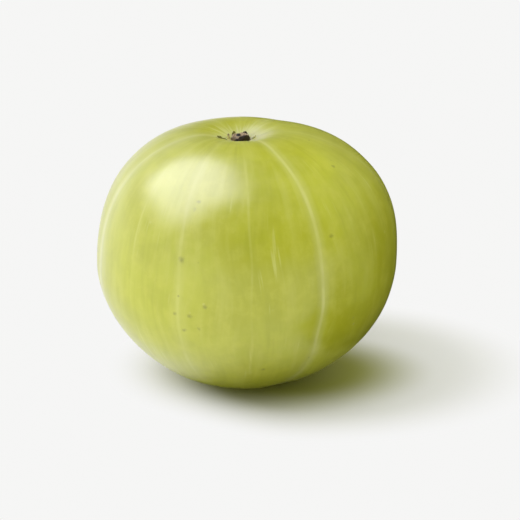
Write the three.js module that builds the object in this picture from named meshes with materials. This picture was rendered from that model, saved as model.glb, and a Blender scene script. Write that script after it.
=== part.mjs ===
// An indian gooseberry (amla), picked: a round, flattened fruit with six shallow furrows, standing on the
// small flat spot at its lower end, with the short woody stub of its stalk in the dimple on top and the six
// dried lobes of its calyx round the stub.
//
// Millimetres, +Z up. The origin is under the middle of the fruit, on the surface that it rests on, and the
// front of the fruit faces -Y. A turn is an angle round the fruit from its front, towards its right side.

import * as THREE from 'three';

// The whole fruit
const fruitWidth = 35;          // across its widest ring
const crownHeight = 30.9;       // where the domed top would end if it had no dimple
const widestHeight = 14.8;      // the widest ring, just below the middle
const crownFullness = 2.42;     // 2 is an ellipse, more is squarer at the shoulders
const baseFullness = 1.88;
const rightShoulder = 0.024;    // how much fuller the right shoulder is, as a part of the radius
const shoulderHeight = 27.5;
const shoulderReach = 8.6;      // how far up and down that fullness spreads
const ovalness = 0.01;          // how much the widest ring departs from a circle, as a part of the radius

// Its two ends
const restingRadius = 4.4;      // the flat spot that it rests on
const styleScarRadius = 0.75;   // the pit that the flower's style left in the flat spot
const styleScarDepth = 0.5;
const dimpleDepth = 1.7;        // the dimple round the stalk
const dimpleRadius = 3.5;
const leanLeft = 0.6;           // the stalk grows this far to the left of the middle
const leanForward = 1.2;        // and this far in front of it: the upper half of the fruit leans that way

// The furrows between its lobes
const furrowCount = 6;
const furrowDepth = 0.1;
const furrowWidth = 1.7;        // to where a furrow is half as deep
const lobeDepth = 0.07;         // the broad wave from lobe to lobe
const alternation = 0.4;        // every other furrow is a main one, and the ones between are fainter
const shoulderDeepening = 0.12; // furrows are this much deeper at the top than at the widest ring
const frontDeepening = 0.3;     // and this much deeper in front than at the sides
const frontLobeTurn = THREE.MathUtils.degToRad( 2.3 );
const frontNarrowing = THREE.MathUtils.degToRad( 6.9 );  // front lobes are narrower than those at the back
const leftNarrowing = THREE.MathUtils.degToRad( 8 );     // and the front left one is narrower again

// The stub of the stalk, which grows from a pit in the dimple
const stubRadius = 1.05;
const stubHeight = 0.62;        // above the floor of the dimple
const stubRoot = 0.45;          // below it
const stubRim = 0.15;           // its rounded edges, and how hollow its top is
const stubUnevenness = 0.05;    // how much its outline departs from a circle, as a part of its radius
const stubRaggedness = 0.08;    // how much its broken rim rises and falls
const stubSlant = 0.12;         // how much higher its right side is broken off than its middle
const clearance = 0.09;         // kept between any two pieces

// The dried lobes of the calyx: where each one grows and how far from the stub, its length and width, how
// steeply it stands at its foot and at its tip, and how far its tip swings round the stub (in degrees)
const calyxThickness = 0.22;
const calyxTaper = 0.45;        // how much narrower a lobe is at its tip, as a part of its width
const calyxLobes = [
	{ turn: 24, beyond: 0, length: 0.72, width: 1.65, foot: 64, tip: 86, swing: 0 },
	{ turn: 92, beyond: 0.1, length: 0.5, width: 0.6, foot: 8, tip: 22, swing: 6 },
	{ turn: 155, beyond: 0, length: 0.52, width: 0.75, foot: 70, tip: 100, swing: 0 },
	{ turn: 218, beyond: 0.05, length: 0.5, width: 0.6, foot: 40, tip: 80, swing: - 8 },
	{ turn: 264, beyond: 0, length: 0.46, width: 0.6, foot: 42, tip: 80, swing: - 6 },
	{ turn: 316, beyond: 0.9, length: 0.66, width: 0.5, foot: 3, tip: 8, swing: - 24 },
];

// How finely the surfaces are divided
const fruitColumns = 72;
const fruitRows = 32;
const stubColumns = 20;
const calyxColumns = 10;
const calyxRows = 8;

const halfWidth = fruitWidth / 2;
const crownRise = crownHeight - widestHeight;

// How far the outline has come in at a radius, from 1 on the axis to 0 at the widest ring.
function roundness( radius, fullness ) {

	return Math.pow( 1 - Math.pow( Math.min( radius / halfWidth, 1 ), fullness ), 1 / fullness );

}

// The height of the plain top at a distance from its axis, with the dimple in it.
function crownAt( radius ) {

	const dimple = dimpleDepth * Math.exp( - Math.pow( radius / dimpleRadius, 2 ) );
	return widestHeight + crownRise * roundness( radius, crownFullness ) - dimple;

}

// The height of the plain lower half, which would close in a point below the surface that it rests on.
function baseAt( radius ) {

	return widestHeight * ( 1 - roundness( radius, baseFullness ) / roundness( restingRadius, baseFullness ) );

}

// The outline of the flesh, as (radius, height) points from the style's scar up to the stalk's pit.
function fruitProfile() {

	const pitRadius = stubRadius + clearance;
	const pitFloor = crownAt( 0 ) - stubRoot - clearance;
	const lowest = Math.PI - Math.asin( restingRadius / halfWidth );
	const highest = Math.asin( ( pitRadius + clearance ) / halfWidth );

	const profile = [
		new THREE.Vector2( 0, styleScarDepth ),
		new THREE.Vector2( styleScarRadius / 2, styleScarDepth ),
		new THREE.Vector2( styleScarRadius, 0 ),
		new THREE.Vector2( ( styleScarRadius + restingRadius ) / 2, 0 ),
		new THREE.Vector2( restingRadius, 0 ),
	];

	for ( let row = 1; row <= fruitRows; row ++ ) {

		const angle = THREE.MathUtils.lerp( lowest, highest, row / fruitRows );
		const radius = halfWidth * Math.sin( angle );
		profile.push( new THREE.Vector2( radius, angle < Math.PI / 2 ? crownAt( radius ) : baseAt( radius ) ) );

	}

	profile.push( new THREE.Vector2( pitRadius, pitFloor ) );
	profile.push( new THREE.Vector2( 0, pitFloor ) );
	return profile;

}

// How far the skin is drawn in towards the middle, in mm: the furrows are deepest on the shoulders and fade
// out before the dimple and before the flat spot.
function drawnIn( turn, radius, height ) {

	const slice = 2 * Math.PI / furrowCount;
	const fromFurrow = radius * ( turn - slice * ( Math.floor( turn / slice ) + 0.5 ) );
	const furrow = furrowDepth / ( 1 + Math.pow( fromFurrow / furrowWidth, 2 ) );
	const wave = lobeDepth * ( 1 - Math.cos( furrowCount * turn ) ) / 2;
	const up = ( height - widestHeight ) / crownRise;
	const main = 1 - alternation + alternation * Math.sin( furrowCount / 2 * turn );
	const uneven = main * ( 1 + frontDeepening * Math.cos( turn ) ) + shoulderDeepening * up;
	const end = up > 0 ? 1.5 * stubRadius : restingRadius;
	return ( furrow + wave ) * uneven * THREE.MathUtils.smoothstep( radius, end, 2 * restingRadius );

}

// How much of the lean a point of the upper half takes: none at the widest ring, all of it at the stalk.
const leanAt = ( radius ) => 1 - Math.pow( Math.min( radius / halfWidth, 1 ), 2 );

// A profile turned round the upright axis: column by column from the front towards the right side.
function turned( profile, columns ) {

	return new THREE.LatheGeometry( profile, columns ).rotateX( Math.PI / 2 );

}

// Gives every point of a geometry its new place.
function grown( geometry, grow ) {

	const places = geometry.attributes.position;
	const place = new THREE.Vector3();

	for ( let i = 0; i < places.count; i ++ ) {

		grow( place.fromBufferAttribute( places, i ) );
		places.setXYZ( i, place.x, place.y, place.z );

	}

	geometry.computeVertexNormals();
	return geometry;

}

// The flesh in its skin, one solid.
function fruit() {

	return grown( turned( fruitProfile(), fruitColumns ), ( place ) => {

		const radius = Math.hypot( place.x, place.y );
		const turn = Math.atan2( place.x, - place.y );
		const inward = drawnIn( turn, radius, place.z ) / halfWidth;
		const oval = ovalness * ( Math.cos( 2 * turn + 2.2 ) + 0.6 * Math.cos( 3 * turn - 2.7 ) );
		const shoulder = Math.exp( - Math.pow( ( place.z - shoulderHeight ) / shoulderReach, 2 ) );
		const fuller = oval + rightShoulder * Math.sin( turn ) * shoulder;
		const across = radius * ( 1 + fuller - inward );
		const atLeft = THREE.MathUtils.smoothstep( - Math.sin( turn ), 0.5, 1 );
		const swung = turn + frontLobeTurn - frontNarrowing * Math.sin( turn ) + leftNarrowing * atLeft;
		const lean = place.z > widestHeight ? leanAt( radius ) : 0;
		place.x = across * Math.sin( swung ) - lean * leanLeft;
		place.y = - across * Math.cos( swung ) - lean * leanForward;
		place.z -= inward * ( place.z - widestHeight );

	} );

}

// The woody stub: a short, uneven peg with a rounded rim and a ragged, slightly hollow broken top.
function stalkStub() {

	const top = crownAt( 0 ) + stubHeight;
	const root = crownAt( 0 ) - stubRoot;
	const profile = [
		new THREE.Vector2( 0, root ),
		new THREE.Vector2( stubRadius - stubRim, root ),
		new THREE.Vector2( stubRadius, root + stubRim ),
		new THREE.Vector2( stubRadius, crownAt( 0 ) + stubHeight / 3 ),
		new THREE.Vector2( stubRadius, top - stubRim ),
		new THREE.Vector2( stubRadius - stubRim, top ),
		new THREE.Vector2( stubRadius / 2, top - stubRim ),
		new THREE.Vector2( 0, top - stubRim ),
	];

	return grown( turned( profile, stubColumns ), ( place ) => {

		const turn = Math.atan2( place.x, - place.y );
		const outward = Math.hypot( place.x, place.y ) / stubRadius;
		const narrowed = 1 - stubUnevenness * ( 1 - Math.sin( 3 * turn + 1 ) );
		const ragged = stubRaggedness * ( Math.sin( 2 * turn + 0.6 ) + 0.6 * Math.sin( 5 * turn ) );
		const slanted = stubSlant * Math.sin( turn );
		place.x = place.x * narrowed - leanLeft;
		place.y = place.y * narrowed - leanForward;
		place.z += place.z > crownAt( 0 ) ? outward * ( ragged + slanted ) : 0;

	} );

}

// One calyx lobe: a small scale that grows beside the stub, wraps round it and curls up along an arc.
function calyxLobe( { turn, beyond, length, width, foot, tip, swing } ) {

	const firstRadius = stubRadius + clearance + calyxThickness / 2 + beyond;
	const lowAngle = THREE.MathUtils.degToRad( foot );
	const curl = THREE.MathUtils.degToRad( tip - foot ) / length;
	const ball = new THREE.SphereGeometry( 1, calyxColumns, calyxRows ).rotateX( Math.PI / 2 );

	return grown( ball, ( place ) => {

		const along = ( place.z + 1 ) / 2 * length;
		const slope = lowAngle + curl * along;
		const out = ( Math.sin( slope ) - Math.sin( lowAngle ) ) / curl;
		const up = ( Math.cos( lowAngle ) - Math.cos( slope ) ) / curl;
		const side = place.x * width / 2 * ( 1 - calyxTaper * along / length );
		const thick = place.y * calyxThickness / 2;
		const radius = firstRadius + out - thick * Math.sin( slope );
		const around = THREE.MathUtils.degToRad( turn + swing * along / length ) + side / radius;
		const skin = crownAt( radius ) + clearance;
		const lean = leanAt( radius );
		place.x = Math.sin( around ) * radius - lean * leanLeft;
		place.y = - Math.cos( around ) * radius - lean * leanForward;
		place.z = skin + calyxThickness / 2 + up + thick * Math.cos( slope );

	} );

}

function piece( name, geometry, color, roughness ) {

	const material = new THREE.MeshStandardMaterial( { color, roughness, metalness: 0 } );
	const mesh = new THREE.Mesh( geometry, material );
	mesh.name = name;
	return mesh;

}

const amla = new THREE.Group();
amla.add( piece( 'fruit', fruit(), '#bcc25c', 0.38 ) );
amla.add( piece( 'stalk_stub', stalkStub(), '#8a6a50', 0.85 ) );

calyxLobes.forEach( ( lobe, i ) => {

	amla.add( piece( `calyx_lobe_${ i + 1 }`, calyxLobe( lobe ), '#4a3a22', 0.8 ) );

} );

// The lean and the fuller shoulder move the fruit off its axis, so it is put back over the origin.
const middle = new THREE.Box3().setFromObject( amla ).getCenter( new THREE.Vector3() );
amla.position.set( - middle.x, - middle.y, 0 );

export default amla;
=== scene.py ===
# %% [markdown]
# # An Indian gooseberry
# One picked amla fruit: a round, slightly flattened, waxy green berry with six faint furrows, the dry stub of
# its stalk in a dimple on top, and six withered calyx lobes round the stub. It stands on a small flat spot.
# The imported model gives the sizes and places, and this script grows the fine surfaces over it.

import math

import bpy
import numpy as np
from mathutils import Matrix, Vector, noise


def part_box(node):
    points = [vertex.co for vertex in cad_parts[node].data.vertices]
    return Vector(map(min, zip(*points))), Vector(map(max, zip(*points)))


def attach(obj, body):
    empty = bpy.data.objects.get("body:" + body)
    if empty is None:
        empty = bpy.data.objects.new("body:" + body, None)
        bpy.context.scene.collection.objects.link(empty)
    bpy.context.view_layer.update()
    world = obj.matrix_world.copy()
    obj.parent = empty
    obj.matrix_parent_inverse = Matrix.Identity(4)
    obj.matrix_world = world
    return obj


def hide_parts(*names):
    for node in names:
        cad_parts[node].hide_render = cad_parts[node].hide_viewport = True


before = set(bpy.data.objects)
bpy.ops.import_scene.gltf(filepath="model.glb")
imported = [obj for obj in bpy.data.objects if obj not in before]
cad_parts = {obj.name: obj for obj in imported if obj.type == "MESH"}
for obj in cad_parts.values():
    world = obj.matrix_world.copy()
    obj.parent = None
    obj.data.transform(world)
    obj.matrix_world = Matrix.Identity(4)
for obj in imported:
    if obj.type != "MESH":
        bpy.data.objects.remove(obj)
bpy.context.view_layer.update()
MM = 0.001
print("nodes of the frame:", sorted(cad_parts))

# %% [markdown]
# ## Where things are
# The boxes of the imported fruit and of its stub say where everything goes. A turn is an angle round the fruit
# from its front, which faces -Y, towards its right side. Blender measures in metres, so a length in
# millimetres is written times MM.

# %% Measure the frame
fruit_low, fruit_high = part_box("fruit")
stub_low, stub_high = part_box("stalk_stub")
stalk_place = (stub_low + stub_high) / 2
print("fruit", [round(side / MM, 2) for side in fruit_high - fruit_low], "mm")

# %% [markdown]
# ## Driving sizes
# These few sizes drive the whole form. They are the fruit's as a plain turned body, before it grows uneven:
# half its width, how high its widest ring and its crown are, how far out its flat spot reaches, and how far
# its top leans.

# %% Driving sizes
half_width = 17.5 * MM
widest_height = 14.8 * MM
crown_height = 30.9 * MM
resting_radius = 4.4 * MM
lean_left, lean_forward = 0.6 * MM, 1.2 * MM
crown_rise = crown_height - widest_height
print("the plain crown rises", round(crown_rise / MM, 1), "mm above the widest ring")

# %% [markdown]
# ## The form of the fruit
# The flesh is one solid, so it is one closed mesh. A sphere would be too plain: the real outline is fuller at
# the shoulders than at the base. It could be sculpted, but a formula of the turn and of the distance from the
# axis is exact and easy to change, so each ring of points is worked out and then grown a little uneven.

# %% The outline
crown_fullness, base_fullness = 2.42, 1.88
dimple_depth, dimple_radius = 1.7 * MM, 3.5 * MM
scar_depth = 0.5 * MM


def roundness(radius, fullness):
    """From 1 on the axis to 0 at the widest ring: 2 is an ellipse, and more is squarer at the shoulders."""
    return (1 - np.minimum(radius / half_width, 1) ** fullness) ** (1 / fullness)


def smooth(value, low, high):
    """0 up to low, 1 from high on, and a soft step between them."""
    share = np.clip((value - low) / (high - low), 0, 1)
    return share * share * (3 - 2 * share)


def crown_at(radius):
    """The height of the upper skin, with the dimple round the stalk."""
    dome = widest_height + crown_rise * roundness(radius, crown_fullness)
    return dome - dimple_depth * np.exp(-((radius / dimple_radius) ** 2))


def base_at(radius):
    """The height of the lower skin: it settles softly on the flat spot, with the style's scar as a pit."""
    settling = 0.02 * MM
    at_rest = roundness(np.float64(resting_radius), base_fullness)
    plain = widest_height * (1 - roundness(radius, base_fullness) / at_rest)
    resting = (plain + np.sqrt(plain**2 + settling**2)) / 2
    return resting + scar_depth * (1 - smooth(radius, 0.35 * MM, 0.85 * MM))


print("the dimple's floor is", round(crown_at(0) / MM, 2), "mm up")

# %% [markdown]
# ## Rings of points
# The rings are close together at the stalk's pit and the style's scar, where the skin bends sharply, and
# evenly spread between them. All of them have the same number of points, so the mesh is neat quads.

# %% The rings
columns = 384
pit_reach, scar_reach = 1.6 * MM, 1.1 * MM
turns = np.arange(columns) / columns * 2 * math.pi
first_angle = math.asin(pit_reach / half_width)
last_angle = math.pi - math.asin(resting_radius / half_width)
angles = np.linspace(first_angle, last_angle, 184)
pit_radii = np.linspace(0, pit_reach, 16, endpoint=False)
side_radii = half_width * np.sin(angles)
flat_radii = np.linspace(resting_radius, scar_reach, 9)[1:]
scar_radii = np.linspace(scar_reach, 0, 12)[1:]
ring_radii = np.concatenate([pit_radii, side_radii, flat_radii, scar_radii])
print(len(ring_radii), "rings of", columns, "points")

# %% How high each ring lies
crown_rings = len(pit_radii) + np.count_nonzero(angles < math.pi / 2)
is_crown = np.arange(len(ring_radii)) < crown_rings
stalk_pit = 0.45 * MM * (1 - smooth(ring_radii, 0.75 * MM, 1.15 * MM))
ring_heights = np.where(is_crown, crown_at(ring_radii) - stalk_pit, base_at(ring_radii))
print(crown_rings, "of the rings are above the widest one")

# %% [markdown]
# ## Furrows and folds
# The six furrows mark where the fruit's carpels meet. They are shallow, deepest on the shoulders, and fade
# out towards the dimple and towards the flat spot, and every other one is fainter. Round the stalk the skin
# is drawn into fine folds. Both are formulas of the turn, so they join up all the way round.

# %% Furrows and folds
lobe_turn = math.pi / 3
furrow_depth, furrow_width = 0.1 * MM, 1.7 * MM
crease_depth, crease_width = 0.015 * MM, 0.35 * MM
swell_depth, fold_depth = 0.07 * MM, 0.045 * MM
dimple_end = 1.58 * MM


def drawn_in(turn, radius, height):
    """How far the skin is drawn in towards the middle."""
    from_furrow = radius * (turn - lobe_turn * (np.floor(turn / lobe_turn) + 0.5))
    furrow = furrow_depth / (1 + (from_furrow / furrow_width) ** 2)
    crease = crease_depth / (1 + (from_furrow / crease_width) ** 2)
    swell = swell_depth * (1 - np.cos(6 * turn)) / 2
    in_front, every_other = 1 + 0.3 * np.cos(turn), 0.6 + 0.4 * np.sin(3 * turn)
    up = (height - widest_height) / crown_rise
    end = np.where(up > 0, dimple_end, resting_radius)
    uneven = in_front * every_other + 0.12 * up
    return (furrow + crease + swell) * uneven * smooth(radius, end, 2 * resting_radius)


def folds(turn, radius):
    """The height of the fine folds round the stalk."""
    ripple = 0.6 * np.sin(5 * turn + 0.4) + 0.4 * np.sin(8 * turn + 2.1) + 0.2 * np.sin(13 * turn + 5.2)
    return fold_depth * ripple * smooth(radius, 1.2 * MM, 1.7 * MM) * smooth(radius, 5 * MM, 2.6 * MM)


deepest = drawn_in(lobe_turn / 2, half_width, widest_height)
print("the deepest furrow is drawn in by", round(float(deepest) / MM, 2), "mm at the widest ring")

# %% [markdown]
# ## Growing uneven
# No fruit is a turned body. This one is slightly oval, its right shoulder is fuller, its front lobes are
# narrower than those at the back, the furrows on its left have swung towards the front, and its top leans a
# little to the front left. A soft lattice could bend it so, but formulas keep the rings exact. After that the
# whole is moved, so that the middle of its box is the frame's middle again.

# %% From the plain form to the grown one
shoulder_height, shoulder_reach = 27.5 * MM, 8.6 * MM
shoulder_share, oval_share = 0.024, 0.01
whole_swing, front_narrowing, left_swing = (math.radians(angle) for angle in (2.3, 6.9, 8))


def grown(turn, radius, height):
    """Moves rings of points from the plain turned form to the grown one. Gives rows x columns x 3."""
    inward = drawn_in(turn, radius, height) / half_width
    oval = oval_share * (np.cos(2 * turn + 2.2) + 0.6 * np.cos(3 * turn - 2.7))
    shoulder = shoulder_share * np.sin(turn) * np.exp(-(((height - shoulder_height) / shoulder_reach) ** 2))
    across = radius * (1 + oval + shoulder - inward)
    swung = turn + whole_swing - front_narrowing * np.sin(turn)
    swung = swung + left_swing * smooth(-np.sin(turn), 0.5, 1)
    is_upper = height > widest_height
    lean = np.where(is_upper, 1 - (radius / half_width) ** 2, 0)
    upward = height - inward * (height - widest_height) + np.where(is_upper, folds(turn, radius), 0)
    sideways = across * np.sin(swung) - lean * lean_left
    forward = -across * np.cos(swung) - lean * lean_forward
    return np.stack([sideways, forward, upward], -1)


turn_grid, radius_grid = np.meshgrid(turns, ring_radii)
height_grid = np.repeat(ring_heights[:, None], columns, 1)
fruit_places = grown(turn_grid, radius_grid, height_grid)
grown_middle = (fruit_places.min((0, 1)) + fruit_places.max((0, 1))) / 2
fruit_places[..., :2] -= grown_middle[:2]
stalk_gap = np.array(stalk_place[:2]) + np.array([lean_left, lean_forward]) + grown_middle[:2]
print("the stub is", np.round(stalk_gap / MM, 3), "mm off the middle of its dimple")

# %% [markdown]
# ## Soft dents
# A grown fruit has no perfect curve anywhere, and gloss shows it. A smooth noise pushes each point in or out
# by up to a tenth of a millimetre, in bumps as broad as a fingertip and in finer ones.


# %% Dents
def soft_noise(places, size, seed):
    """A smooth noise from about -1 to 1 for each point, with bumps about size across."""
    away = Vector((seed, 0, 0))
    values = [noise.noise(Vector(spot) + away) for spot in places.reshape(-1, 3) / size]
    return np.array(values).reshape(places.shape[:2])


broad_dent, fine_dent = 0.12 * MM, 0.025 * MM
outward = fruit_places - np.array([0, 0, widest_height])
outward /= np.linalg.norm(outward, axis=-1, keepdims=True)
dents = broad_dent * soft_noise(fruit_places, 9 * MM, 3.0)
dents += fine_dent * soft_noise(fruit_places, 3.5 * MM, 8.0)
dents *= np.clip(fruit_places[..., 2] / (3 * MM), 0, 1) * smooth(radius_grid, 1.5 * MM, 4 * MM)
fruit_places += outward * dents[..., None]
grown_size = fruit_places.max((0, 1)) - fruit_places.min((0, 1))
print("grown to", np.round(grown_size / MM, 2), "mm")

# %% [markdown]
# ## From rings to a closed mesh
# Every piece here is such a stack of rings whose first and last ring shrink to a point, so one small function
# makes them all: a fan of triangles at each end and quads between them. A second one stores a value for each
# point of such a stack, which the piece's material can read.


# %% A closed mesh from rings
def closed_mesh(name, places):
    """An object whose skin runs over rows x columns of places, from the first row's point to the last's."""
    rows, around = places.shape[:2]
    inner = places[1:-1].reshape(-1, 3)
    points = np.concatenate([places[:1, 0], inner, places[-1:, 0]])
    last = len(points) - 1
    start = 1 + (rows - 3) * around
    faces = [(0, 1 + i, 1 + (i + 1) % around) for i in range(around)]
    for row in range(rows - 3):
        at = 1 + row * around
        for i in range(around):
            j = (i + 1) % around
            faces.append((at + i, at + around + i, at + around + j, at + j))
    faces += [(start + i, last, start + (i + 1) % around) for i in range(around)]
    mesh = bpy.data.meshes.new(name)
    mesh.from_pydata(points.tolist(), [], faces)
    mesh.shade_smooth()
    piece = bpy.data.objects.new(name, mesh)
    bpy.context.scene.collection.objects.link(piece)
    print(name, "has", len(points), "points and", len(faces), "faces")
    return piece


def keep(piece, name, values):
    """Stores a value or a vector for each point of the mesh, for its material to read."""
    rows = values.reshape(values.shape[0], values.shape[1], -1)
    inner = rows[1:-1].reshape(-1, rows.shape[2])
    flat = np.concatenate([rows[0].mean(0)[None], inner, rows[-1].mean(0)[None]])
    kind, field = ("FLOAT_VECTOR", "vector") if flat.shape[1] == 3 else ("FLOAT", "value")
    kept = piece.data.attributes.new(name, kind, "POINT")
    kept.data.foreach_set(field, flat.astype(np.float32).ravel())


fruit = closed_mesh("amla_fruit", fruit_places)

# %% [markdown]
# ## Coordinates that follow the growth
# The pale lines and the fine streaks in the skin run from the stalk to the style, as the bundles of fibres
# under them do. Plain box coordinates can't follow that, so each point stores where it is in the growth:
# "fibre" is stretched along the meridians and sways a little, and "carpel" is 0 on a furrow in one value and
# 0 in the middle of a lobe in the other, without a jump anywhere. Its third value is the radius in mm.

# %% Store the growth coordinates
steps = np.linalg.norm(np.diff(fruit_places, axis=0), axis=2)
run = np.concatenate([np.zeros((1, columns)), np.cumsum(steps, 0)])
sway = turn_grid + 0.07 * soft_noise(fruit_places, 9 * MM, 21.0)
fibre = np.stack([half_width * np.sin(sway), -half_width * np.cos(sway), 0.12 * run], -1) / MM
bend = turn_grid + 0.02 * soft_noise(fruit_places, 5 * MM, 33.0)
carpel = np.stack([np.cos(3 * bend), np.sin(3 * bend), radius_grid / MM], -1)
keep(fruit, "fibre", fibre)
keep(fruit, "carpel", carpel)
print("from stalk to style the skin runs", round(run[-1].mean() / MM, 1), "mm")

# %% [markdown]
# ## A bench for materials
# Shader nodes are many small steps. These helpers lay one down in one line each: put() makes a node and wires
# it, and the others are the steps that a finish is made of.


# %% Colours and nodes
def paint(red, green, blue):
    """A colour as it is seen on a screen, from 0 to 255, as the linear colour that a shader takes."""
    shares = [channel / 255 for channel in (red, green, blue)]
    linear = [c / 12.92 if c <= 0.04045 else ((c + 0.055) / 1.055) ** 2.4 for c in shares]
    return (*linear, 1)


def put(tree, kind, sockets, **settings):
    """A shader node of a kind, with its settings, and its sockets wired to other nodes or set to values."""
    made = tree.nodes.new("ShaderNode" + kind)
    for name, value in settings.items():
        setattr(made, name, value)
    for name, value in sockets.items():
        if isinstance(value, bpy.types.NodeSocket):
            tree.links.new(value, made.inputs[name])
        else:
            made.inputs[name].default_value = value
    return made


def new_finish(name):
    """A material with its own Principled shader. Gives the material, its tree and the shader."""
    finish = bpy.data.materials.new(name)
    finish.use_nodes = True
    return finish, finish.node_tree, finish.node_tree.nodes["Principled BSDF"]


# %% Steps of a finish
def calc(tree, operation, first, second=0.0):
    """One sum on each spot of a surface."""
    return put(tree, "Math", {0: first, 1: second}, operation=operation).outputs[0]


def times(tree, first, second):
    """One share of another."""
    return calc(tree, "MULTIPLY", first, second)


def step(tree, value, low, high, start=0.0, end=1.0):
    """start up to low, end from high on, and a soft step between them."""
    sockets = {"Value": value, "From Min": low, "From Max": high, "To Min": start, "To Max": end}
    return put(tree, "MapRange", sockets, interpolation_type="SMOOTHSTEP").outputs[0]


def blend(tree, share, first, second, how="MIX"):
    """From the first colour where share is 0 to the second where it is 1, or both multiplied or added."""
    sockets = {0: share, 6: first, 7: second}
    return put(tree, "Mix", sockets, data_type="RGBA", blend_type=how).outputs[2]


def vector_calc(tree, operation, first, second):
    """One sum on a place: ADD and MULTIPLY give a place, and DISTANCE and LENGTH a number."""
    made = put(tree, "VectorMath", {0: first, 1: second}, operation=operation)
    return made.outputs["Value" if operation in ("DISTANCE", "LENGTH") else "Vector"]


def parts(tree, vector):
    """The three values of a place or of a colour."""
    return put(tree, "SeparateXYZ", {0: vector}).outputs


def stored(tree, name, output="Vector"):
    """What keep() stored in the mesh under a name."""
    return put(tree, "Attribute", {}, attribute_name=name).outputs[output]


def on_object(tree):
    """Each spot's place, in metres from the frame's origin."""
    return put(tree, "TexCoord", {}).outputs["Object"]


# %% Noise and relief
def grain(tree, vector, scale, detail, rough=0.5):
    """A soft noise from 0 to 1, which repeats scale times in each unit of the vector."""
    sockets = {"Vector": vector, "Scale": scale, "Detail": detail, "Roughness": rough}
    return put(tree, "TexNoise", sockets).outputs[0]


def fibre_grain(tree, fibre_at, across, along, detail, rough=0.5):
    """A noise that is drawn out along the fibres: how often it repeats across them and along them."""
    return grain(tree, vector_calc(tree, "MULTIPLY", fibre_at, (across, across, along)), 1.0, detail, rough)


def relief(tree, shader, height, strength, depth):
    """Lets a height, from 0 to 1, bend the light on the surface as if it were that deep."""
    bump = put(tree, "Bump", {"Strength": strength, "Distance": depth, "Height": height})
    tree.links.new(bump.outputs[0], shader.inputs["Normal"])


# %% [markdown]
# ## Dressing a piece
# Each finished piece gets its finish and is tied to the body that it moves with, and the plain solid that it
# stands for is hidden. A fruit has no moving part, so its body is the root.


# %% Dress a piece
def dress(piece, finish, node):
    """Gives a piece its finish, ties it to its body, and hides the plain solid that it stands for."""
    piece.data.materials.append(finish)
    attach(piece, "root")
    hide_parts(node)


# %% [markdown]
# ## The skin
# Amla skin is thin, waxy and slightly see-through: a yellow-green ground with soft mottling, fine streaks
# that run down it, six paler lines along the furrows and fainter ones between them. A flat drawing wrapped
# round it would stretch at the ends, so all of that is built up in layers of colour, from broad to fine. The
# broad patches are slid over the fruit a little, so that they lie well on its front.

# %% Skin: the ground
skin, tree, shader = new_finish("amla_skin")
place = on_object(tree)
fibre_at = stored(tree, "fibre")
on_furrow, on_lobe, radius_mm = parts(tree, stored(tree, "carpel"))
right_at, _, height_at = parts(tree, place)
patch_place = vector_calc(tree, "ADD", place, (-3.5 * MM, 0, 4 * MM))
broad = grain(tree, patch_place, 110, 2)
ground = blend(tree, step(tree, broad, 0.35, 0.65), paint(195, 198, 30), paint(204, 209, 50))
mottled = grain(tree, place, 700, 4, 0.6)
ground = blend(tree, step(tree, mottled, 0.4, 0.7, 0, 0.5), ground, paint(213, 215, 72))
clouds = grain(tree, patch_place, 330, 3)
ground = blend(tree, step(tree, clouds, 0.56, 0.36, 0, 0.32), ground, paint(184, 189, 22))
print("the ground takes", len(tree.nodes), "nodes")

# %% [markdown]
# ## Streaks
# The skin is finely streaked from stalk to style, paler over the fibres and deeper between them. A noise that
# is drawn out along the "fibre" coordinates follows the form, which stripes laid through the whole box
# wouldn't. Here and there are short pale dashes as well, and a broad noise picks the areas that have them.

# %% Skin: streaks
streaks = fibre_grain(tree, fibre_at, 0.6, 0.8, 3, 0.55)
ground = blend(tree, step(tree, streaks, 0.45, 0.75, 0, 0.42), ground, paint(216, 219, 98))
ground = blend(tree, step(tree, streaks, 0.48, 0.25, 0, 0.42), ground, paint(182, 187, 18))
dashes = step(tree, fibre_grain(tree, fibre_at, 2.2, 1.4, 1.5), 0.62, 0.74, 0, 0.6)
dashed_areas = step(tree, grain(tree, place, 170, 2), 0.5, 0.68)
ground = blend(tree, times(tree, dashes, dashed_areas), ground, paint(224, 227, 126))
print("with the streaks it takes", len(tree.nodes), "nodes")

# %% [markdown]
# ## The furrow lines
# A bundle of fibres lies under each furrow and shows through as a pale thread, with a fainter one under the
# middle of each lobe. The "carpel" values are the cosine and the sine of three times the turn, so near a
# line a third of one of them times the radius is the distance from it in mm. A noise breaks the threads up.
# A wide, weak band lies round each furrow, and at the far left it is made stronger as a painted highlight
# along the rim. Every other furrow is fainter, as in the form.

# %% Skin: the furrow lines
third_radius = calc(tree, "DIVIDE", radius_mm, 3.0)
from_furrow = calc(tree, "ABSOLUTE", times(tree, on_furrow, third_radius))
from_lobe = calc(tree, "ABSOLUTE", times(tree, on_lobe, third_radius))


def thread(away, width, low, high, strength):
    """A pale line about width mm wide where away is 0, broken up by a noise."""
    breaks = step(tree, grain(tree, place, 160, 3), low, high, 0.2 * strength, strength)
    return times(tree, step(tree, away, width, 0.15 * width), breaks)


furrow_line = thread(from_furrow, 0.36, 0.35, 0.6, 0.7)
furrow_line = times(tree, furrow_line, step(tree, on_lobe, -0.9, 0.9, 0.35, 1.0))
lobe_line = thread(from_lobe, 0.26, 0.48, 0.68, 0.4)
furrow_band_and_sheen = step(tree, from_furrow, 1.2, 0.1, 0, 0.34)
furrow_band_and_sheen = times(tree, furrow_band_and_sheen, step(tree, on_lobe, -0.9, 0.9, 0.4, 1.0))
# At the far left the band is strengthened: a painted highlight along the rim.
furrow_band_and_sheen = times(tree, furrow_band_and_sheen, step(tree, right_at, -11 * MM, -15 * MM, 1.0, 2.4))
ground = blend(tree, furrow_band_and_sheen, ground, paint(226, 228, 140))
ground = blend(tree, furrow_line, ground, paint(230, 232, 140))
ground = blend(tree, lobe_line, ground, paint(224, 226, 122))
print("with the lines it takes", len(tree.nodes), "nodes")
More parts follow.
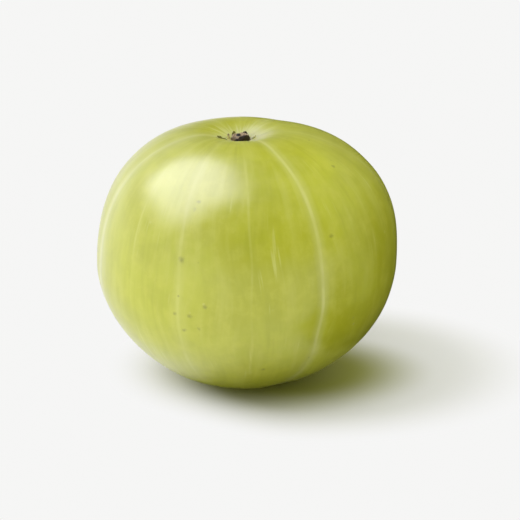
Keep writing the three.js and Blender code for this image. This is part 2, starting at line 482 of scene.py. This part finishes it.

# %% [markdown]
# ## The two ends of the skin
# Round the stalk the skin is pale, with fine rays and a cream collar, and it is corky where the stub grows out
# of it. The collar is brighter on the stalk's right, where it is a painted highlight. At the other end the
# style has left a small brown scar. The radius sets it all, so that the skin round the scar is pale as well,
# and the height keeps the scar itself off the top.

# %% Skin: its ends
rays = fibre_grain(tree, fibre_at, 0.5, 0.6, 2, 0.6)
pale_reach = step(tree, rays, 0.3, 0.7, 2.6, 5.6)
near_end = step(tree, calc(tree, "DIVIDE", radius_mm, pale_reach), 1.0, 0.35, 0, 0.8)
ground = blend(tree, near_end, ground, paint(233, 235, 156))
# The collar is a paler ring round the stalk, and its brighter right side is a painted highlight.
painted_highlight_side = step(tree, right_at, -1 * MM, 1.5 * MM, 0.1, 0.6)
collar_and_highlight = times(tree, step(tree, radius_mm, 4.2, 1.4), painted_highlight_side)
ground = blend(tree, collar_and_highlight, ground, paint(238, 236, 192))
cork = step(tree, radius_mm, 1.4, 1.05, 0, 0.7)
ground = blend(tree, cork, ground, paint(176, 158, 96))
at_base = step(tree, height_at, 2 * MM, 1 * MM, 0, 0.9)
scar = times(tree, step(tree, radius_mm, 1.3, 0.7), at_base)
ground = blend(tree, scar, ground, paint(96, 74, 40))
print("with its ends it takes", len(tree.nodes), "nodes")

# %% [markdown]
# ## Blemishes
# Each fruit has a few small brown-green spots where it was rubbed or stung. The larger ones are listed: a turn
# in degrees, a height in mm and about how wide it is in mm. The tiniest are left to a pattern of cells, in
# which each cell draws two numbers, and only a high draw makes a dark or a pale speck in it.

# %% Blemishes at given places
blemishes = [
    (-25, 26.0, 0.34), (-26, 25.1, 0.26), (-29, 20.0, 0.62), (-25, 14.0, 0.34),
    (-19, 15.2, 0.42), (-28, 12.0, 0.36), (-32, 14.1, 0.28), (-22, 12.6, 0.24),
    (60, 28.0, 0.3), (37, 22.0, 0.26), (7, 6.6, 0.34), (112, 19.0, 0.4),
    (127, 11.5, 0.3), (171, 23.0, 0.45), (214, 16.0, 0.35), (256, 9.0, 0.3),
]
end_rings, wobble_size = 20, 0.6 * MM
wobble = times(tree, grain(tree, place, 2200, 3, 0.6), wobble_size)
spotted = 0.0
# The wobble adds about 0.3 mm to each distance, so both limits of a spot are that much larger.
for turn, height, width in blemishes:
    column = round(turn / 360 * columns) % columns
    row = end_rings + np.abs(fruit_places[end_rings:-end_rings, column, 2] - height * MM).argmin()
    from_spot = vector_calc(tree, "DISTANCE", place, tuple(fruit_places[row, column]))
    uneven_away = calc(tree, "ADD", from_spot, wobble)
    spot = step(tree, uneven_away, (0.55 * width + 0.48) * MM, 0.2 * MM)
    spotted = calc(tree, "MAXIMUM", spotted, spot)
ground = blend(tree, times(tree, spotted, 0.58), ground, paint(128, 130, 20))
print(len(blemishes), "blemishes placed")

# %% Tiny specks
cells = put(tree, "TexVoronoi", {"Vector": place, "Scale": 420, "Randomness": 1.0})
from_cell = cells.outputs["Distance"]
first_draw, second_draw, _ = parts(tree, cells.outputs["Color"])
dark_speck = times(tree, step(tree, from_cell, 0.075, 0.03), step(tree, first_draw, 0.86, 0.9))
pale_speck = times(tree, step(tree, from_cell, 0.11, 0.03), step(tree, second_draw, 0.72, 0.8))
ground = blend(tree, times(tree, dark_speck, 0.4), ground, paint(138, 140, 26))
ground = blend(tree, times(tree, pale_speck, 0.35), ground, paint(226, 228, 140))
print("with its blemishes it takes", len(tree.nodes), "nodes")

# %% [markdown]
# ## Wax and gloss
# The bloom of wax makes a broad, soft gloss over a slightly sharper one, so the shader has a rough base and a
# thin coat. Some light sinks into the flesh and comes out again nearby, which keeps the shaded side glowing.
# The streaks, the mottling, the lines and the blemishes are also felt, so they make the relief together.

# %% Skin: the finish
tree.links.new(ground, shader.inputs["Base Color"])
tree.links.new(step(tree, mottled, 0.3, 0.7, 0.3, 0.38), shader.inputs["Roughness"])
bumps = times(tree, streaks, 0.5)
bumps = calc(tree, "SUBTRACT", bumps, times(tree, furrow_line, 0.4))
bumps = calc(tree, "ADD", bumps, times(tree, mottled, 0.35))
bumps = calc(tree, "SUBTRACT", bumps, times(tree, spotted, 0.3))
relief(tree, shader, bumps, 0.3, 0.05 * MM)
shader.inputs["Specular IOR Level"].default_value = 0.75
shader.inputs["Coat Weight"].default_value = 0.8
shader.inputs["Coat Roughness"].default_value = 0.3
shader.inputs["Subsurface Weight"].default_value = 0.3
shader.inputs["Subsurface Radius"].default_value = (1.0, 0.9, 0.25)
shader.inputs["Subsurface Scale"].default_value = 2.5 * MM
dress(fruit, skin, "fruit")
print("the skin has", len(tree.nodes), "nodes")

# %% [markdown]
# ## The stub of the stalk
# A short woody peg, snapped off. Its bark is ribbed by the fibres inside, and its broken top is ragged and
# hollow. A turned peg with a fine noise would look soft, so the ribs and the splinters are in the mesh. As
# for the fruit, it starts as rings: some below, some up the side, and some over the broken top.

# %% Stub: its rings
stub_radius = 1.05 * MM
stub_columns = 120
stub_stands = 0.62 * MM
under_rings, side_rings, top_rings = 6, 22, 22
stub_bottom, stub_top = stub_low.z, crown_at(0) + stub_stands
under = np.linspace(0, 0.95, under_rings, endpoint=False) * stub_radius
side = np.full(side_rings, stub_radius)
over = np.linspace(1, 0, top_rings) ** 0.8 * 0.93 * stub_radius
up_side = np.linspace(0.02, 0.97, side_rings)
stub_shares = np.concatenate([np.full(under_rings, 0.0), up_side, np.full(top_rings, 1.0)])
stub_turns = np.arange(stub_columns) / stub_columns * 2 * math.pi
stub_turn, stub_ring = np.meshgrid(stub_turns, np.concatenate([under, side, over]))
share = np.repeat(stub_shares[:, None], stub_columns, 1)
is_top = np.arange(len(stub_shares))[:, None] >= under_rings + side_rings
print("the stub stands", round(stub_stands / MM, 2), "mm out of its dimple")

# %% Stub: the ribbed side
rib_share = 0.03
ribs = 0.5 * np.sin(9 * stub_turn + 1.3) + 0.5 * np.sin(16 * stub_turn + 0.7 + 2 * share)
outline = 1 - 0.05 * (1 - np.sin(3 * stub_turn + 1)) + rib_share * ribs * share
outline += 0.05 * smooth(share, 0.55, 0.4) - 0.04 * smooth(share, 0.8, 1.0)
stub_x = stub_ring * outline * np.sin(stub_turn)
stub_y = -stub_ring * outline * np.cos(stub_turn)
print("its ribs stand out by up to", round(rib_share * stub_radius / MM, 3), "mm")

# %% [markdown]
# ## The broken top
# The peg broke off a little higher on its right, with a wavy rim, a hollow in the middle, splinters as fine
# as hairs and one dark crumb of bark. Waves of the turn make the rim, and a noise that is drawn out along the
# wood makes the splinters.

# %% Stub: the broken top
ragged = 0.08 * np.sin(2 * stub_turn + 0.6) + 0.05 * np.sin(5 * stub_turn) + 0.12 * np.sin(stub_turn)
ragged *= MM * stub_ring / stub_radius
bowl = 0.16 * MM * smooth(stub_ring, 0.95 * stub_radius, 0.5 * stub_radius) * is_top
stub_z = stub_bottom + (stub_top - stub_bottom) * share + ragged * smooth(share, 0.5, 1.0) - bowl
stub_places = np.stack([stub_x, stub_y, stub_z], -1)
splinters = soft_noise(stub_places * [1, 1, 0.3], 0.22 * MM, 5.0)
splinters += 0.5 * soft_noise(stub_places, 0.1 * MM, 9.0)
stub_places[..., 2] += 0.07 * MM * splinters * smooth(share, 0.75, 1.0) * smooth(stub_ring, 0, 0.2 * MM)
from_crumb = np.hypot(stub_x + 0.2 * MM, (stub_y - 0.35 * MM) * 0.8)
crumb = is_top * np.exp(-((from_crumb / (0.24 * MM)) ** 2))
stub_places[..., 2] += 0.2 * MM * crumb
stub_places[..., 0] += stalk_place.x
stub_places[..., 1] += stalk_place.y
print("its broken top reaches", round(stub_places[..., 2].max() / MM, 2), "mm up")

# %% [markdown]
# ## What the stub's wood has to know
# Its material needs to know what is bark, what is broken wood and which side is darker. That could be
# painted on by hand, but worked out from the same turns and rings it fits the form exactly.

# %% Stub: the mesh
stub = closed_mesh("broken_stalk", stub_places)
keep(stub, "ribs", np.stack([4 * np.sin(stub_turn), 4 * np.cos(stub_turn), 0.8 * share], -1))
keep(stub, "broken", np.where(is_top, 1.0, smooth(share, 0.86, 1.0)))
keep(stub, "darker_side", smooth(np.cos(stub_turn - math.radians(36)), 0.1, 0.45))
keep(stub, "crumb", crumb)

# %% [markdown]
# ## Wood of the stub
# The bark is nearly black on its front right and brown elsewhere, and the broken wood is tan. The
# fibres show as fine streaks down the side and as dots in the break.

# %% Stub: the finish
wood, tree, shader = new_finish("stalk_wood")
place = on_object(tree)
fibres = grain(tree, stored(tree, "ribs"), 1.6, 4, 0.6)
dots = grain(tree, place, 5200, 3, 0.6)
bark = blend(tree, step(tree, fibres, 0.35, 0.65), paint(132, 110, 64), paint(178, 158, 104))
dark_bark = blend(tree, step(tree, fibres, 0.45, 0.75), paint(24, 15, 4), paint(50, 36, 12))
bark = blend(tree, stored(tree, "darker_side", "Fac"), bark, dark_bark)
break_wood = blend(tree, step(tree, dots, 0.35, 0.65), paint(150, 124, 92), paint(196, 176, 142))
colour = blend(tree, stored(tree, "broken", "Fac"), bark, break_wood)
cracks = step(tree, grain(tree, place, 1500, 2), 0.56, 0.64, 0, 0.7)
colour = blend(tree, cracks, colour, paint(76, 56, 30))
colour = blend(tree, step(tree, stored(tree, "crumb", "Fac"), 0.15, 0.45), colour, paint(26, 17, 5))
tree.links.new(colour, shader.inputs["Base Color"])
tree.links.new(step(tree, dots, 0.3, 0.7, 0.7, 0.9), shader.inputs["Roughness"])
relief(tree, shader, calc(tree, "ADD", fibres, dots), 0.6, 0.05 * MM)
dress(stub, wood, "stalk_stub")

# %% [markdown]
# ## The dried calyx
# The six lobes of the calyx have dried to small scales. Four of them stand up against the stub and two lie on
# the skin beside it. Each is a thin leaf: its middle follows an arc from its foot to its tip, its edges curl
# up, and it narrows to a ragged tip. A flat card would have no edge to catch the light, so each has some
# thickness. It is bent as if its foot stood on a straight line, and only then wrapped round the stub.


# %% A calyx lobe on a straight line
def leaf(turn, length, width, foot, tip):
    """A small dry leaf: how far each point is along it and to its side, and how far out and up it lies."""
    rows, around, thickness = 44, 40, 0.2 * MM
    low_angle, curl = math.radians(foot), math.radians(tip - foot) / length
    along = (1 - np.cos(np.linspace(0, math.pi, rows))) / 2
    along, angle = np.meshgrid(along, np.arange(around) / around * 2 * math.pi, indexing="ij")
    slope = low_angle + curl * along * length
    out = (np.sin(slope) - math.sin(low_angle)) / curl
    up = (math.cos(low_angle) - np.cos(slope)) / curl
    # Blunt at both ends, and narrower towards a torn tip.
    ends = np.sqrt(np.maximum(1 - (2 * along - 1) ** 4, 0))
    tears = np.sin(5 * along + turn) * np.sin(23 * along + 3 * turn) * along
    side = width / 2 * np.cos(angle) * ends * (1 - 0.45 * along**2 + 0.1 * tears)
    # Thin at its edges, which curl up more and more towards the tip.
    edge = np.cos(angle) ** 2
    thick = thickness / 2 * np.sin(angle) * ends * (1 - 0.4 * edge)
    thick += 0.14 * width * edge * ends * along - 0.03 * width
    return along, side, out - thick * np.sin(slope), up + thick * np.cos(slope)


# %% A calyx lobe, wrapped round the stub
def calyx_lobe(name, turn, beyond, length, width, foot, tip, swing):
    """A scale at a turn round the stub, and beyond it by so many mm. Its length and its width are in mm. How
    steep its foot and its tip stand, and how far its tip swings round the stub, are in degrees."""
    along, side, out, up = leaf(turn, length * MM, width * MM, foot, tip)
    radius = stub_radius + 0.16 * MM + beyond * MM + out
    height = crown_at(radius) + 0.06 * MM + up
    around_stub = math.radians(turn) + math.radians(swing) * along + side / radius
    places = np.stack([np.sin(around_stub) * radius, -np.cos(around_stub) * radius, height], -1)
    frayed = np.stack([soft_noise(places, 0.3 * MM, seed + turn) for seed in (1.0, 2.0, 3.0)], -1)
    places += 0.07 * MM * frayed * smooth(along, 0.0, 0.4)[..., None]
    places[0], places[-1] = places[0].mean(0), places[-1].mean(0)
    places[..., :2] += np.array(stalk_place[:2])
    lobe = closed_mesh(name, places)
    keep(lobe, "along", along)
    return lobe


# %% [markdown]
# ## Paper-dry finish
# Dried calyx tissue is thin and veined, and has another colour at its frayed tip. Two lobes are nearly black,
# one tan, two olive and one pale. One recipe with three colours makes all four finishes.


# %% Calyx: the finishes
def dried(name, dark, light, tip):
    """A finish for a dried scale: from a dark to a light colour by its veins, and a third at its tip."""
    finish, tree, shader = new_finish(name)
    veins = grain(tree, on_object(tree), 3800, 4, 0.65)
    colour = blend(tree, step(tree, veins, 0.35, 0.65), paint(*dark), paint(*light))
    near_tip = step(tree, stored(tree, "along", "Fac"), 0.6, 1.0, 0, 0.5)
    colour = blend(tree, near_tip, colour, paint(*tip))
    tree.links.new(colour, shader.inputs["Base Color"])
    tree.links.new(step(tree, veins, 0.3, 0.7, 0.65, 0.85), shader.inputs["Roughness"])
    relief(tree, shader, veins, 0.5, 0.04 * MM)
    return finish


black = dried("dry_calyx", (24, 15, 5), (50, 36, 12), (58, 42, 16))
tan = dried("tan_calyx", (150, 132, 76), (190, 172, 112), (34, 24, 8))
olive = dried("olive_calyx", (96, 96, 22), (130, 128, 40), (120, 116, 36))
pale = dried("pale_calyx", (212, 210, 142), (230, 228, 172), (204, 196, 130))
print("dry finishes:", black.name, tan.name, olive.name, pale.name)

# %% [markdown]
# ## The six lobes in place
# A line for each lobe gives what calyx_lobe() asks for, and its finish. A dried calyx is never even, so a
# loop with equal turns would look made. Each is set one by one near the plain solid that it stands for, and
# the print says how near.

# %% Calyx: the six lobes
lobes = [
    (24, 0, 0.72, 1.65, 64, 86, 0, black),
    (92, 0.1, 0.5, 0.6, 8, 22, 6, pale),
    (155, 0, 0.52, 0.75, 70, 100, 0, black),
    (218, 0.05, 0.5, 0.6, 40, 80, -8, olive),
    (264, 0, 0.46, 0.6, 42, 80, -6, tan),
    (316, 0.9, 0.66, 0.5, 3, 8, -24, olive),
]
for number, (*form, finish) in enumerate(lobes, 1):
    lobe = calyx_lobe(f"dry_lobe_{number}", *form)
    dress(lobe, finish, f"calyx_lobe_{number}")
    cad_low, cad_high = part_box(f"calyx_lobe_{number}")
    made = np.array([corner[:] for corner in lobe.bound_box])
    off = (made.min(0) + made.max(0)) / 2 - np.array((cad_low + cad_high) / 2)
    print("  its middle is", np.round(off / MM, 2), "mm from its solid's")

# %% [markdown]
# ## The table
# A plain white table top takes the fruit's soft shadow. One large square is enough, as its finish does the
# rest.

# %% Table: the top
table_reach = 3.0
corners = [(x * table_reach, y * table_reach, 0) for x, y in ((-1, -1), (1, -1), (1, 1), (-1, 1))]
table_mesh = bpy.data.meshes.new("floor")
table_mesh.from_pydata(corners, [], [(0, 1, 2, 3)])
table = bpy.data.objects.new("floor", table_mesh)
bpy.context.scene.collection.objects.link(table)
print("the table is", 2 * table_reach, "m wide")

# %% [markdown]
# ## The light that the table throws back
# Light that bounces off the table brightens the fruit from below. It is strong from the open table at the
# left, and weak from under the fruit and from the right, where the other fruits of a heap would lie. A lamp
# below would light the whole underside, so the table's own colour is varied instead, for that light alone.

# %% Table: the light it throws back
white, tree, shader = new_finish("white_table")
shader.inputs["Roughness"].default_value = 0.6
shader.inputs["Specular IOR Level"].default_value = 0.1
place = on_object(tree)
rightward = parts(tree, place)[0]
away = vector_calc(tree, "LENGTH", place, (0, 0, 0))
open_share, hidden_share = 0.84, 0.2
bounce = step(tree, away, 14 * MM, 30 * MM, hidden_share, open_share)
bounce = calc(tree, "MAXIMUM", bounce, step(tree, rightward, -1 * MM, -13 * MM, 0, 0.8))
bounce = times(tree, bounce, step(tree, rightward, 30 * MM, 0.0, 0.26, 1))
print("the table throws back", open_share, "of the light, and", hidden_share, "under the fruit")

# %% [markdown]
# ## The table as it is seen
# What is seen of the table, directly or as a reflection, is nearly white, with a painted green shadow under
# the fruit that fades outwards, standing in for light that has passed through the flesh. The Light Path node
# tells what is seen from what only lights the fruit. In reflections the painted shadow reaches further right.

# %% Table: what is seen
path = put(tree, "LightPath", {}).outputs
seen = calc(tree, "MAXIMUM", path["Is Camera Ray"], path["Is Transmission Ray"])
seen = calc(tree, "MAXIMUM", seen, path["Is Glossy Ray"])
spread = times(tree, path["Is Glossy Ray"], step(tree, rightward, -12 * MM, 2 * MM, 0, 0.6))
spread = calc(tree, "ADD", 1.0, spread)


def from_middle(x, y, half_x, half_y):
    """How far a spot is from the middle of an ellipse of shade: 1 on the ellipse, which is given in mm."""
    sized = vector_calc(tree, "MULTIPLY", place, (1 / half_x / MM, 1 / half_y / MM, 0))
    off = vector_calc(tree, "DISTANCE", sized, (x / half_x, y / half_y, 0))
    return calc(tree, "DIVIDE", off, spread)


# The painted green shadow: the seen colour turns dark green inside an ellipse under the fruit.
painted_shadow_share = step(tree, from_middle(4, 0, 12.5, 8), 1.55, 0.65)
open_white, painted_green_shadow = (0.94, 0.94, 0.935, 1), (0.36, 0.37, 0.08, 1)
seen_colour = blend(tree, painted_shadow_share, open_white, painted_green_shadow)
tree.links.new(blend(tree, seen, bounce, seen_colour), shader.inputs["Base Color"])
print("the table's colour takes", len(tree.nodes), "nodes")

# %% [markdown]
# ## From table to backdrop
# A studio has a paper sweep, so that no edge shows behind the object. A bent sheet would do, but its bend
# would show from a low viewpoint. Here the table glows in the plain colour of the backdrop, and only round
# the shadow it is a surface that takes shade. An ellipse sets where the one fades into the other.

# %% Table: into the backdrop
studio_white = (0.92, 0.92, 0.912, 1)
# On the left the backdrop's glow starts nearer the fruit, which lightens the shadow there: painted light.
leftward = step(tree, rightward, 6 * MM, -8 * MM, 0, 0.12)
from_shadow = calc(tree, "ADD", from_middle(8.3, 2, 20, 15), leftward)
far = times(tree, step(tree, from_shadow, 0.8, 1.4), seen)
backdrop = put(tree, "Emission", {"Color": studio_white, "Strength": 1.0})
mixed = put(tree, "MixShader", {0: far, 1: shader.outputs[0], 2: backdrop.outputs[0]})
tree.links.new(mixed.outputs[0], tree.nodes["Material Output"].inputs[0])
table_mesh.materials.append(white)

# %% [markdown]
# ## The camera
# It looks down a little at the front of the fruit from about five fruit widths away, with a long lens, so
# that the fruit keeps its true proportions. It aims slightly to the right, where the shadow falls, and the
# fruit's box gives its distance.

# %% Camera
camera_data = bpy.data.cameras.new("camera")
camera_data.lens = 104
camera = bpy.data.objects.new("camera", camera_data)
bpy.context.scene.collection.objects.link(camera)
bpy.context.scene.camera = camera
elevation = math.radians(20.5)
distance = 5.05 * (fruit_high.x - fruit_low.x)
target = Vector((1.5 * MM, 0, 0.47 * fruit_high.z))
camera.location = target + distance * Vector((0, -math.cos(elevation), math.sin(elevation)))
camera.rotation_euler = (target - camera.location).to_track_quat("-Z", "Y").to_euler()
print("the camera stands", round(distance / MM), "mm away")

# %% [markdown]
# ## The window
# The broad highlight on the upper left is a window's reflection, and a rectangular lamp high on the left
# stands for it. Matte surfaces don't see it, as the room gives them their light, so it can be as strong as
# the highlight needs. It is slightly blue, like the sky.

# %% Window
lamp = bpy.data.lights.new("window_glow", "AREA")
lamp.shape = "RECTANGLE"
lamp.size, lamp.size_y = 0.55, 0.5
lamp.energy = 3.9
lamp.color = (0.8, 0.79, 1.0)
window_away = 0.5
window = bpy.data.objects.new("window_glow", lamp)
bpy.context.scene.collection.objects.link(window)
window.location = target + window_away * Vector((-0.54, -0.03, 0.83)).normalized()
window.rotation_euler = (target - window.location).to_track_quat("-Z", "Y").to_euler()
window.visible_diffuse = False
print("the window is", window_away, "m away")

# %% [markdown]
# ## The green card
# A fruit from a heap mirrors its neighbours, from its right side round to its back. Whole fruits would hide
# it and aren't part of it, so a curved card with a lip on the table stands in for them. Only reflections see
# it. It is dark green low down, where neighbours shade each other, and paler at its top and in front.

# %% Card: the curved sheet
card_turns = np.linspace(20, 195, 36)
card_reach, card_foot = 1.6 * half_width, 0.3 * MM
card_height, lip_width = 46 * MM, 12 * MM
card_top = card_foot + card_height * smooth(card_turns, 25, 80) * smooth(card_turns, 205, 165)
card_lip = card_reach - lip_width * smooth(card_turns, 20, 55) * smooth(card_turns, 185, 140)
card_right, card_front = np.sin(np.radians(card_turns)), -np.cos(np.radians(card_turns))
card_points = np.concatenate([
    np.stack([reach * card_right, reach * card_front, height + 0 * card_turns], -1)
    for reach, height in ((card_lip, card_foot), (card_reach, card_foot), (card_reach, card_top))
])
last = len(card_turns) - 1
card_faces = [(i, i + 1, i + last + 2, i + last + 1) for i in range(2 * last + 1) if i != last]
card_mesh = bpy.data.meshes.new("green_card")
card_mesh.from_pydata(card_points.tolist(), [], card_faces)
card = bpy.data.objects.new("green_card", card_mesh)
bpy.context.scene.collection.objects.link(card)
print("the card stands", round(card_reach / MM), "mm from the middle")

# %% Card: its colour
green, tree, shader = new_finish("green_card")
_, along, up = parts(tree, on_object(tree))
in_front = times(tree, step(tree, along, -4 * MM, -14 * MM), step(tree, up, 2 * MM, 10 * MM))
leaf_green = blend(tree, in_front, paint(84, 86, 6), paint(196, 198, 180))
leaf_green = blend(tree, step(tree, up, 20 * MM, 46 * MM, 0, 0.8), leaf_green, paint(202, 205, 140))
tree.links.new(leaf_green, shader.inputs["Base Color"])
shader.inputs["Roughness"].default_value = 0.9
card_mesh.materials.append(green)
card.visible_camera = card.visible_diffuse = card.visible_shadow = card.visible_transmission = False

# %% [markdown]
# ## The room
# The room lights the fruit from all sides. A ready-made surrounding could do it, but a few soft steps of the
# direction are easier to steer. Matte surfaces get a bright low band from the left, some light from the right
# and from above, and a little from everywhere. Gloss sees another room: bright low at the left, dimmer
# behind, and leafy green at the right. What looks straight past the fruit sees plain studio white.

# %% Room: its directions
world = bpy.data.worlds.new("room")
bpy.context.scene.world = world
world.use_nodes = True
tree = world.node_tree
path = put(tree, "LightPath", {}).outputs
sideways, backwards, upwards = parts(tree, put(tree, "TexCoord", {}).outputs["Generated"])
left, right = step(tree, sideways, 0.35, -0.6), step(tree, sideways, -0.2, 0.5)
overhead, behind = step(tree, upwards, 0.5, 0.95), step(tree, backwards, -0.3, 0.5)
white_light = (1, 1, 1, 1)


def glow(share, level, colour=white_light):
    """A part of the room, as bright as level where share is 1."""
    return blend(tree, 1.0, times(tree, share, level), colour, "MULTIPLY")


def plus(first, second):
    """Both lights together."""
    return blend(tree, 1.0, first, second, "ADD")


# %% Room: the light on matte surfaces
even_fill = 0.16
fill = glow(left, step(tree, upwards, 0.6, 0.05, 0.1, 2.8))
fill = plus(fill, glow(right, step(tree, upwards, -0.2, 0.3, 0.33, 0.66), paint(244, 245, 226)))
fill = plus(fill, glow(overhead, 0.64))
fill = plus(fill, (even_fill, even_fill, even_fill, 1))
print("a fill of", even_fill, "comes from everywhere")

# %% Room: what gloss sees
low_left = times(tree, step(tree, sideways, 0.0, -0.6), step(tree, upwards, 0.3, 0.03, 0.35, 1))
gloss = glow(low_left, step(tree, backwards, -0.9, 0.1, 0.3, 0.85))
hedge = blend(tree, step(tree, sideways, -0.3, 0.2), white_light, paint(240, 242, 70))
gloss = plus(gloss, glow(behind, step(tree, upwards, -0.1, 0.25, 0.42, 0.34), hedge))
gloss = plus(gloss, glow(step(tree, sideways, 0.1, 0.6), 0.7, paint(238, 240, 90)))

# %% Room: who sees which
level = blend(tree, path["Is Glossy Ray"], fill, gloss)
seen = calc(tree, "MAXIMUM", path["Is Camera Ray"], path["Is Transmission Ray"])
tree.links.new(blend(tree, seen, level, studio_white), tree.nodes["Background"].inputs[0])
print("the room has", len(tree.nodes), "nodes")

# %% [markdown]
# ## Finish
# The Standard view transform shows each colour as it is worked out, without a film look.

# %% Finish
bpy.context.scene.view_settings.view_transform = "Standard"
